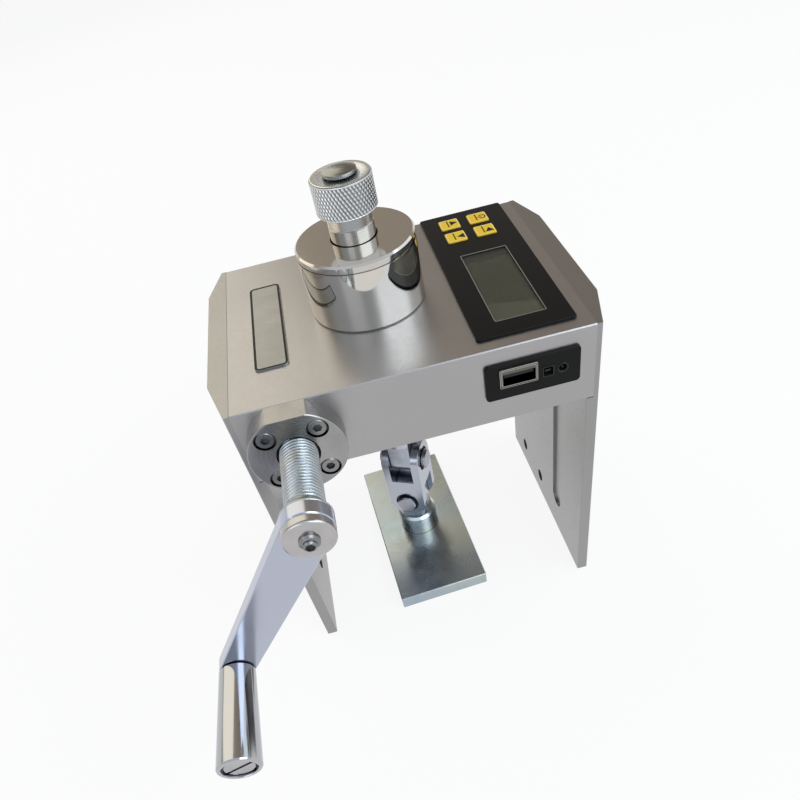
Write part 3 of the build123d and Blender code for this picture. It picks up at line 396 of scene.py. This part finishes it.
def lathe(name, profile, place, body, slot, columns, relief, joined=True):
    """A turned piece from (along, radius) points; relief(along, angle) is cut from the radius.

    The profile is a loop round the axis when joined, and ends in two flat discs when not.
    """
    points = []
    for along, radius in profile:
        for j in range(columns):
            angle = 2 * pi * j / columns
            reach = radius - relief(along, angle)
            points.append(place(along, reach * cos(angle), reach * sin(angle)))
    return piece(name, points, skin(len(profile), columns, joined), body, slot)


def along_z(at):
    """Places a turned piece on the upright axis through a point."""
    return lambda along, a, b: (at[0] + a, at[1] + b, along)


def along_y(at):
    """Places a turned piece on the axis along Y through a point."""
    return lambda along, a, b: (at[0] + b, along, at[2] + a)


def in_mm(points):
    """The same points in metres."""
    return [(along * MM, radius * MM) for along, radius in points]


def ramp(first, last, steps):
    """Even places from first to last, both included."""
    return [first + (last - first) * i / steps for i in range(steps + 1)]


def triangle(value):
    """A wave from 0 to 1 and back for each whole step."""
    return 1 - abs(2 * (value % 1.0) - 1)


# Knurled nut

NUT_FOOT, NUT_TOP = (corner[2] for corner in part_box("adjusting_nut"))
NUT_SHOULDER = NUT_FOOT + 4.8 * MM
NUT_NECK_RADIUS = 8.4 * MM
NUT_BORE_RADIUS = 5.05 * MM
NUT_MOUTH_RADIUS = 4.7 * MM
NUT_MOUTH_DEPTH = 1.6 * MM
NECK_EDGE = 0.12 * MM
NECK_FILLET = 0.3 * MM
SHOULDER_EDGE_HEIGHT = 0.4 * MM
SHOULDER_EDGE_WIDTH = 0.5 * MM
TOP_EDGE = 0.7 * MM
TOP_RIM = 0.1 * MM
KNURL_LOW = NUT_SHOULDER + 0.5 * MM
KNURL_HIGH = NUT_TOP - 0.9 * MM
KNURL_COUNT = 50
KNURL_PITCH = 2.67 * MM
KNURL_ROWS = 64
KNURL_COLUMNS = 10
KNURL_FLANK = 1.6


def knurl(along, angle):
    """Depth of the crossed grooves below the nut's outer radius; one set is cut deeper."""
    if not KNURL_LOW <= along <= KNURL_HIGH:
        return 0
    turn = KNURL_COUNT * angle / (2 * pi)
    climb = along / KNURL_PITCH
    crossing = min(1.0, KNURL_FLANK * triangle(turn - climb))
    return KNURL_DEPTH * (1 - triangle(turn + climb) * (0.5 + 0.5 * crossing))


def make_nut():
    """The nut with its diamond knurl cut in: up its outside, and back down its bore."""
    mouth = NUT_TOP - NUT_MOUTH_DEPTH
    profile = [
        (NUT_FOOT, NUT_BORE_RADIUS),
        (NUT_FOOT, NUT_NECK_RADIUS - NECK_EDGE),
        (NUT_FOOT + NECK_EDGE, NUT_NECK_RADIUS),
        (NUT_SHOULDER - NECK_FILLET, NUT_NECK_RADIUS),
        (NUT_SHOULDER, NUT_NECK_RADIUS + NECK_FILLET),
        (NUT_SHOULDER, NUT_RADIUS - SHOULDER_EDGE_WIDTH),
        (NUT_SHOULDER + SHOULDER_EDGE_HEIGHT, NUT_RADIUS),
    ]
    profile += [(height, NUT_RADIUS) for height in ramp(KNURL_LOW, KNURL_HIGH, KNURL_ROWS)]
    profile += [
        (NUT_TOP - TOP_EDGE, NUT_RADIUS),
        (NUT_TOP, NUT_RADIUS - TOP_EDGE),
        (NUT_TOP, NUT_RADIUS - TOP_EDGE - TOP_RIM),
        (NUT_TOP, NUT_MOUTH_RADIUS),
        (mouth, NUT_MOUTH_RADIUS),
        (mouth, NUT_BORE_RADIUS),
    ]
    columns = KNURL_COUNT * KNURL_COLUMNS
    nut = lathe("knurled_nut", profile, along_z(PULL), "nut", "knurled_steel", columns, knurl)
    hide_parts("adjusting_nut")


make_nut()


# Threads

THREAD_PITCH = 1.5 * MM
THREAD_FLANK = 1.5

SPINDLE_RADIUS = 7.0 * MM
SPINDLE_FIRST, SPINDLE_LAST = -89.2 * MM, -43.6 * MM
SPINDLE_DEPTH = 0.75 * MM
SPINDLE_ROWS = 300
SPINDLE_COLUMNS = 72
SCREW_RADIUS = 2.05 * MM
SCREW_ROOM = 1.0 * MM
# Along the axis and radius, in millimetres: the hub's seat, the collar and its cone
SPINDLE_FRONT = ((-98.4, 2.05), (-98.4, 5.0), (-92.7, 5.0),
                 (-92.7, 9.1), (-92.1, 9.1), (-91.9, 9.0), (-89.4, 7.05))
# The same for the nose and the dish that the ball lies in
SPINDLE_NOSE = ((-42.6, 5.6), (-34.6, 5.6), (-34.0, 5.0), (-34.0, 2.26), (-34.5, 1.69), (-34.9, 0.84))

ROD_FIRST, ROD_LAST = 86 * MM, 121 * MM
ROD_RADIUS = 5.25 * MM
ROD_END_RADIUS = 4.9 * MM
ROD_END = 0.8 * MM
ROD_DEPTH = 0.7 * MM
ROD_ROWS = 240
ROD_COLUMNS = 48


def thread(depth, first, last):
    """Relief of a helical groove between two places along the axis, shallower at both ends."""
    def relief(along, angle):
        if not first <= along <= last:
            return 0
        wave = triangle(along / THREAD_PITCH - angle / (2 * pi))
        fade = min(1.0, (along - first) / THREAD_PITCH, (last - along) / THREAD_PITCH)
        return depth * (1 - min(1.0, THREAD_FLANK * wave)) * fade
    return relief


def make_spindle():
    """Crank spindle: screw hole, collar, thread that runs into the flange, and nose."""
    screw_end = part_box("crank_screw")[1][1] + SCREW_ROOM
    profile = [(screw_end, SCREW_RADIUS)] + in_mm(SPINDLE_FRONT)
    profile += [(place, SPINDLE_RADIUS) for place in ramp(SPINDLE_FIRST, SPINDLE_LAST, SPINDLE_ROWS)]
    profile += in_mm(SPINDLE_NOSE)
    spindle = lathe("threaded_spindle", profile, along_y(PUMP), "crank", "spindle_zinc", SPINDLE_COLUMNS,
                    thread(SPINDLE_DEPTH, SPINDLE_FIRST, SPINDLE_LAST), joined=False)
    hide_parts("pump_spindle")


def make_rod_thread():
    """Thread on the pull rod between its head and the body."""
    profile = [(ROD_FIRST - ROD_END, ROD_END_RADIUS)]
    profile += [(height, ROD_RADIUS) for height in ramp(ROD_FIRST, ROD_LAST, ROD_ROWS)]
    profile += [(ROD_LAST + ROD_END, ROD_END_RADIUS)]
    lathe("rod_thread", profile, along_z(PULL), "rod", "rod_steel", ROD_COLUMNS,
          thread(ROD_DEPTH, ROD_FIRST, ROD_LAST))


make_spindle()
make_rod_thread()


# Return spring

SPRING_WIRE = 1.1 * MM
SPRING_TURNS = 3
SPRING_STEPS = 40
SPRING_SIDES = 12


def make_spring():
    """The return spring between the piston and the lid, built at one length; in the tester it shortens as the
    piston rises.
    """
    low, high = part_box("return_spring")
    radius = (high[0] - low[0]) / 2 - SPRING_WIRE
    foot, head = low[2] + SPRING_WIRE, high[2] - SPRING_WIRE
    rise = (head - foot) / (2 * pi * SPRING_TURNS)
    rows = SPRING_TURNS * SPRING_STEPS + 1
    points = []
    for i in range(rows):
        turn = 2 * pi * i / SPRING_STEPS
        out = Vector((cos(turn), sin(turn), 0))
        along = Vector((-radius * sin(turn), radius * cos(turn), rise)).normalized()
        up = along.cross(out)
        centre = radius * out + Vector((0, 0, foot + rise * turn))
        for j in range(SPRING_SIDES):
            angle = 2 * pi * j / SPRING_SIDES
            points.append(centre + SPRING_WIRE * (cos(angle) * out + sin(angle) * up))
    spring = piece("spring_coil", points, skin(rows, SPRING_SIDES, joined=False), "frame", "spring_steel")
    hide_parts("return_spring")
    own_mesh(spring)


make_spring()


# Marks, joint lines and trims

MARK = 0.04 * MM
SEAM_HALF = 0.07 * MM
CORNER_STEPS = 6


def rectangle(left, right, near, far):
    """Points of a rectangle in plan, anticlockwise."""
    return [(left, near), (right, near), (right, far), (left, far)]


def rounded(size, corner, at):
    """Points of a rounded rectangle in plan, anticlockwise."""
    points = []
    for side_x, side_y, start in ((1, 1, 0), (-1, 1, 90), (-1, -1, 180), (1, -1, 270)):
        for i in range(CORNER_STEPS + 1):
            angle = radians(start + 90 * i / CORNER_STEPS)
            points.append((at[0] + side_x * (size[0] / 2 - corner) + corner * cos(angle),
                           at[1] + side_y * (size[1] / 2 - corner) + corner * sin(angle)))
    return points


def flat_form(name, outlines, heights, joined, body, slot, material):
    """A flat-faced form through outlines in plan at the given heights."""
    points = [(x, y, z) for outline, z in zip(outlines, heights) for x, y in outline]
    faces = skin(len(outlines), len(outlines[0]), joined)
    return piece(name, points, faces, body, slot, material, smooth=False)


def flat_mark(name, outline, low, high, body, slot, material):
    """A thin raised mark with an anticlockwise outline in plan."""
    flat_form(name, (outline, outline), (low, high), False, body, slot, material)


def flat_ring(name, outer, inner, low, high, body, slot, material):
    """A thin raised line between two outlines with as many points each."""
    return flat_form(name, (outer, outer, inner, inner), (low, high, high, low), True, body, slot, material)


def bordered(name, size, corner, line, at, low, high, body, slot, material):
    """A rounded border line of one breadth."""
    outer = rounded(size, corner, at)
    inner = rounded(grown(size, -2 * line), max(corner - line, 0.1 * MM), at)
    flat_ring(name, outer, inner, low, high, body, slot, material)


def grown(size, by):
    """A width and a length, both longer by the same amount."""
    return size[0] + by, size[1] + by


def middle(node):
    """Centre, size and top of a CAD node."""
    low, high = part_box(node)
    centre = ((low[0] + high[0]) / 2, (low[1] + high[1]) / 2)
    return centre, (high[0] - low[0], high[1] - low[1]), high[2]


LABEL_MARGIN = 0.15 * MM
LABEL_CORNER = 2.0 * MM
LABEL_LINE = 0.9 * MM


def make_label():
    """Dark border on the bare label plate."""
    centre, size, top = middle("label_plate")
    bordered("label_border", grown(size, -2 * LABEL_MARGIN), LABEL_CORNER, LABEL_LINE, centre,
             top, top + MARK, "frame", "label_silver", INK)


def make_seam():
    """Fine dark joint where the top of the left leg meets the body's top."""
    low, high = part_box("body_block")
    outline = rectangle(low[0] - SEAM_HALF, low[0] + SEAM_HALF, low[1], high[1])
    flat_mark("left_seam", outline, high[2], high[2] + 0.4 * MARK, "frame", "body_aluminium", SEAM)


BOSS_LINE_POINTS = 64


def make_boss_line():
    """Fine dark joint where the stud's boss stands on the block."""
    low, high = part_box("coupling_stud")
    radius = (high[0] - low[0]) / 2
    turns = [2 * pi * i / BOSS_LINE_POINTS for i in range(BOSS_LINE_POINTS)]
    outer, inner = ([(reach * cos(turn), reach * sin(turn)) for turn in turns]
                    for reach in (radius + 2.5 * SEAM_HALF, radius - SEAM_HALF))
    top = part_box("standard_block")[1][2]
    flat_ring("boss_line", outer, inner, top, top + MARK, "block", "block_zinc", SEAM)


WINDOW_OVERLAP = 0.1 * MM
WINDOW_CORNER = 0.6 * MM
WINDOW_LINE = 0.28 * MM
WINDOW_RISE = 0.18 * MM
BAND_INSET = 0.5 * MM
BAND_DEPTH = 5.0 * MM
BAND_CORNER = 0.3 * MM
BAND_LOW, BAND_HIGH = 0.01 * MM, 0.03 * MM


def make_display():
    """Pale edge of the window and the dark far end of the display under the glass."""
    centre, size, top = middle("display_window")
    bordered("window_edge", grown(size, 2 * WINDOW_OVERLAP), WINDOW_CORNER, WINDOW_LINE, centre,
             top, top + WINDOW_RISE, "frame", "display_glass", EDGE)
    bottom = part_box("display_window")[0][2]
    far = centre[1] + (size[1] - BAND_DEPTH) / 2 - BAND_INSET
    outline = rounded((size[0] - 2 * BAND_INSET, BAND_DEPTH), BAND_CORNER, (centre[0], far))
    flat_mark("display_band", outline, bottom + BAND_LOW, bottom + BAND_HIGH, "frame", "display_case", BAND)


# Keys, in millimetres rightward and nearer from a key's far left corner
DIVIDER = rectangle(3.35, 3.85, 1.1, 7.0)
POWER_BAR = rectangle(4.1, 6.1, 4.15, 4.65)
POWER_CENTRE = (6.2, 4.4)
POWER_RADII = (1.75, 1.2)
POWER_GAP = 40
POWER_STEPS = 16
KEY_FLANGE = 0.6 * MM
RIM_INSET = 0.25 * MM
RIM_CORNER = 0.6 * MM
RIM_LINE = 0.42 * MM


def power_ring():
    """Outline of a ring that is open to the left."""
    turns = [radians(degrees) for degrees in ramp(POWER_GAP, 360 - POWER_GAP, POWER_STEPS)]
    x, y = POWER_CENTRE
    outer, inner = ([(x - reach * cos(turn), y - reach * sin(turn)) for turn in turns]
                    for reach in POWER_RADII)
    return outer + inner[::-1]


KEY_SYMBOLS = {
    "key_enter": [[(4.7, 1.8), (4.7, 5.8), (8.0, 3.8)]],
    "key_up": [[(7.9, 2.7), (4.6, 4.7), (7.9, 6.7)]],
    "key_power": [power_ring(), POWER_BAR],
    "key_down": [[(4.2, 6.5), (8.0, 6.5), (6.1, 3.0)]],
}


def anticlockwise(points):
    """The same outline, turned round if it runs clockwise."""
    area = sum(a[0] * b[1] - b[0] * a[1] for a, b in zip(points, points[1:] + points[:1]))
    return points if area > 0 else points[::-1]


def make_key_marks():
    """Symbol, divider and a pale rim of painted highlight on each key."""
    for name, symbol in KEY_SYMBOLS.items():
        centre, flange_size, top = middle(name)
        size = grown(flange_size, -2 * KEY_FLANGE)
        body = name.split("_")[1] + "_key"
        corner = (centre[0] - size[0] / 2, centre[1] + size[1] / 2)
        for i, outline in enumerate(symbol + [DIVIDER]):
            points = anticlockwise([(corner[0] + x * MM, corner[1] - y * MM) for x, y in outline])
            flat_mark(f"{name}_mark_{i}", points, top, top + MARK, body, "key_yellow", INK)
        # The pale rim line is a painted highlight along the key's edge
        bordered(f"{name}_rim", grown(size, -2 * RIM_INSET), RIM_CORNER, RIM_LINE, centre,
                 top, top + 0.5 * MARK, body, "key_yellow", KEY_RIM_HIGHLIGHT)


LIP_LINE = 0.16 * MM
LIP_BREADTH = 0.62 * MM
LIP_OUTER_CORNER, LIP_INNER_CORNER = 0.5 * MM, 0.4 * MM


def make_socket_lines():
    """Painted highlights on the outer and inner edges of the dark lip of the type A socket, drawn lying and
    then stood up.
    """
    low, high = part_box("usb_shell")
    at = ((low[0] + high[0]) / 2, (low[2] + high[2]) / 2)
    opening = (high[0] - low[0], high[2] - low[2])
    for name, inset in (("outer", 0), ("inner", LIP_BREADTH)):
        size = grown(opening, -2 * inset)
        outer = rounded(size, LIP_OUTER_CORNER, at)
        inner = rounded(grown(size, -2 * LIP_LINE), LIP_INNER_CORNER, at)
        # Each line is a painted highlight on an edge of the lip
        line = flat_ring(f"usb_{name}_line", outer, inner, -low[1], -low[1] + MARK,
                         "frame", "socket_steel", EDGE_HIGHLIGHT)
        for vertex in line.data.vertices:
            x, z, height = vertex.co
            vertex.co = (x, -height, z)


TONGUE_UNDERSIDE = 132.9 * MM
CONTACT_PITCH = 2.3 * MM
CONTACT_INSET = 0.6 * MM
CONTACT_SIZE = (1.0 * MM, 6.0 * MM, 0.06 * MM)


def make_contacts():
    """Four gilt contacts on the tongue of the type A socket."""
    low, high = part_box("usb_tongue")
    front = low[1] + CONTACT_INSET
    for i in range(4):
        x = (low[0] + high[0]) / 2 + (i - 1.5) * CONTACT_PITCH
        outline = rectangle(x - CONTACT_SIZE[0] / 2, x + CONTACT_SIZE[0] / 2, front, front + CONTACT_SIZE[1])
        flat_mark(f"usb_contact_{i}", outline, TONGUE_UNDERSIDE - CONTACT_SIZE[2], TONGUE_UNDERSIDE,
                  "frame", "socket_steel", PAINT["post_brass"])


make_label()
make_seam()
make_display()
make_boss_line()
make_key_marks()
make_socket_lines()
make_contacts()


# Camera, solved from the edges of the body, the legs and the block in the photograph

PHOTO_WIDTH = 800
FOCAL_LENGTH = 658.3935
PHOTO_CENTRE = (413.6422, 503.8630)
SENSOR_WIDTH = 36
CAMERA_RIGHT = (0.96781545, -0.19905101, -0.15398684)
CAMERA_DOWN = (-0.25086087, -0.71430541, -0.65332733)
CAMERA_AHEAD = (0.02005183, 0.67092956, -0.74124993)
CAMERA_PLACE = (-8.3735 * MM, -238.7816 * MM, 285.0245 * MM)


def place_camera():
    """The photograph's view; the focal length and the centre are in its pixels."""
    camera = placed("camera", bpy.data.cameras.new("camera"))
    camera.data.sensor_width = SENSOR_WIDTH
    camera.data.lens = FOCAL_LENGTH / PHOTO_WIDTH * SENSOR_WIDTH
    camera.data.shift_x = (PHOTO_WIDTH / 2 - PHOTO_CENTRE[0]) / PHOTO_WIDTH
    camera.data.shift_y = (PHOTO_CENTRE[1] - PHOTO_WIDTH / 2) / PHOTO_WIDTH
    camera.data.clip_start = 0.01
    rows = zip(CAMERA_RIGHT, CAMERA_DOWN, CAMERA_AHEAD, CAMERA_PLACE)
    camera.matrix_world = Matrix([(right, -down, -ahead, place) for right, down, ahead, place in rows]
                                 + [(0, 0, 0, 1)])
    bpy.context.scene.camera = camera


place_camera()


# Light and ground

ROOM_LEFT = (0.50, 0.465, 0.39)
ROOM_REAR = (0.37, 0.32, 0.265)
ROOM_FRONT = (0.76, 0.83, 0.90)
WHITE = (1, 1, 1)
SOFT_LIGHT = (0.92, 0.95, 1.0)
SOFT_STRENGTH = 0.5
WARM_SIDE = (-0.75, 0.45, 0.48)
WARM_FROM, WARM_TO = 0.35, 0.98
FRONT_FROM, FRONT_TO = -0.25, 0.15
ROOM_FROM, ROOM_TO = 0.06, 0.30


def set_world():
    """White all round, and dimmer for the light that it gives.

    High up, metal mirrors a room that is cool in front, brown behind and warm at the rear left.
    """
    world = bpy.data.worlds.new("studio")
    bpy.context.scene.world = world
    world.use_nodes = True
    world.node_tree.nodes.clear()
    sky = Nodes(world.node_tree)

    def share(value, low, high):
        return sky.span(value, low, high, interpolation_type="SMOOTHSTEP")

    direction = sky.add("ShaderNodeTexCoord").outputs["Generated"]
    split = sky.add("ShaderNodeSeparateXYZ")
    sky.link(direction, split.inputs[0])
    toward = sky.vector("DOT_PRODUCT", direction, Vector(WARM_SIDE).normalized())
    rear = sky.blend(share(toward, WARM_FROM, WARM_TO), ROOM_REAR, ROOM_LEFT)
    room = sky.blend(share(split.outputs["Y"], FRONT_FROM, FRONT_TO), ROOM_FRONT, rear)
    mirrored = sky.blend(share(split.outputs["Z"], ROOM_FROM, ROOM_TO), WHITE, room)
    direct = sky.add("ShaderNodeLightPath").outputs["Is Camera Ray"]

    soft = sky.add("ShaderNodeBackground")
    soft.inputs["Color"].default_value = (*SOFT_LIGHT, 1)
    soft.inputs["Strength"].default_value = SOFT_STRENGTH
    backdrop = sky.add("ShaderNodeBackground")
    sky.link(sky.blend(direct, mirrored, WHITE), backdrop.inputs["Color"])
    both = sky.mixed(sky.seen(), soft.outputs[0], backdrop.outputs[0])
    sky.link(both, sky.add("ShaderNodeOutputWorld").inputs["Surface"])


LAMP_TARGET = (0, 0, 0.10)


def lamp(name, place, size, power, colour):
    """A soft rectangular lamp aimed at the tester."""
    data = bpy.data.lights.new(name, "AREA")
    data.shape = "RECTANGLE"
    data.size, data.size_y = size
    data.energy = power
    data.color = colour
    aim = Vector(LAMP_TARGET) - Vector(place)
    turn = aim.to_track_quat("-Z", "Y").to_matrix().to_4x4()
    placed(name, data).matrix_world = Matrix.Translation(place) @ turn


set_world()
lamp("key_lamp", (-0.66, 0.84, 0.97), (1.5, 1.2), 6.4, (1.0, 0.94, 0.80))
lamp("window_lamp", (1.10, 0.25, 0.85), (0.9, 0.8), 2.6, (0.78, 0.90, 1.0))
lamp("side_lamp", (0.77, -0.70, 0.92), (1.4, 0.6), 8.4, (0.84, 0.93, 1.0))
lamp("front_lamp", (-0.55, -0.95, 0.45), (0.6, 0.5), 1.4, (0.86, 0.90, 1.0))

GROUND_REACH = 3.0
GROUND_HEIGHT = -0.2 * MM
GROUND_GLOW = 0.88


def make_ground():
    """A staged pale floor that shows as white and keeps a faint shadow."""
    mesh = bpy.data.meshes.new("ground")
    outline = rectangle(-GROUND_REACH, GROUND_REACH, -GROUND_REACH, GROUND_REACH)
    mesh.from_pydata([(x, y, GROUND_HEIGHT) for x, y in outline], [], [(0, 1, 2, 3)])
    sheet = placed("ground", mesh)
    shade = Shader("ground").set(Base_Color=(0.9, 0.9, 0.9, 1), Roughness=0.8, Specular_IOR_Level=0.0)
    glow = shade.add("ShaderNodeEmission")
    both = shade.mixed(shade.seen(GROUND_GLOW), shade.surface.outputs[0], glow.outputs[0])
    shade.link(both, shade.tree.nodes["Material Output"].inputs["Surface"])
    paint(sheet, shade.material)


make_ground()

view = bpy.context.scene.view_settings
view.view_transform = "Standard"
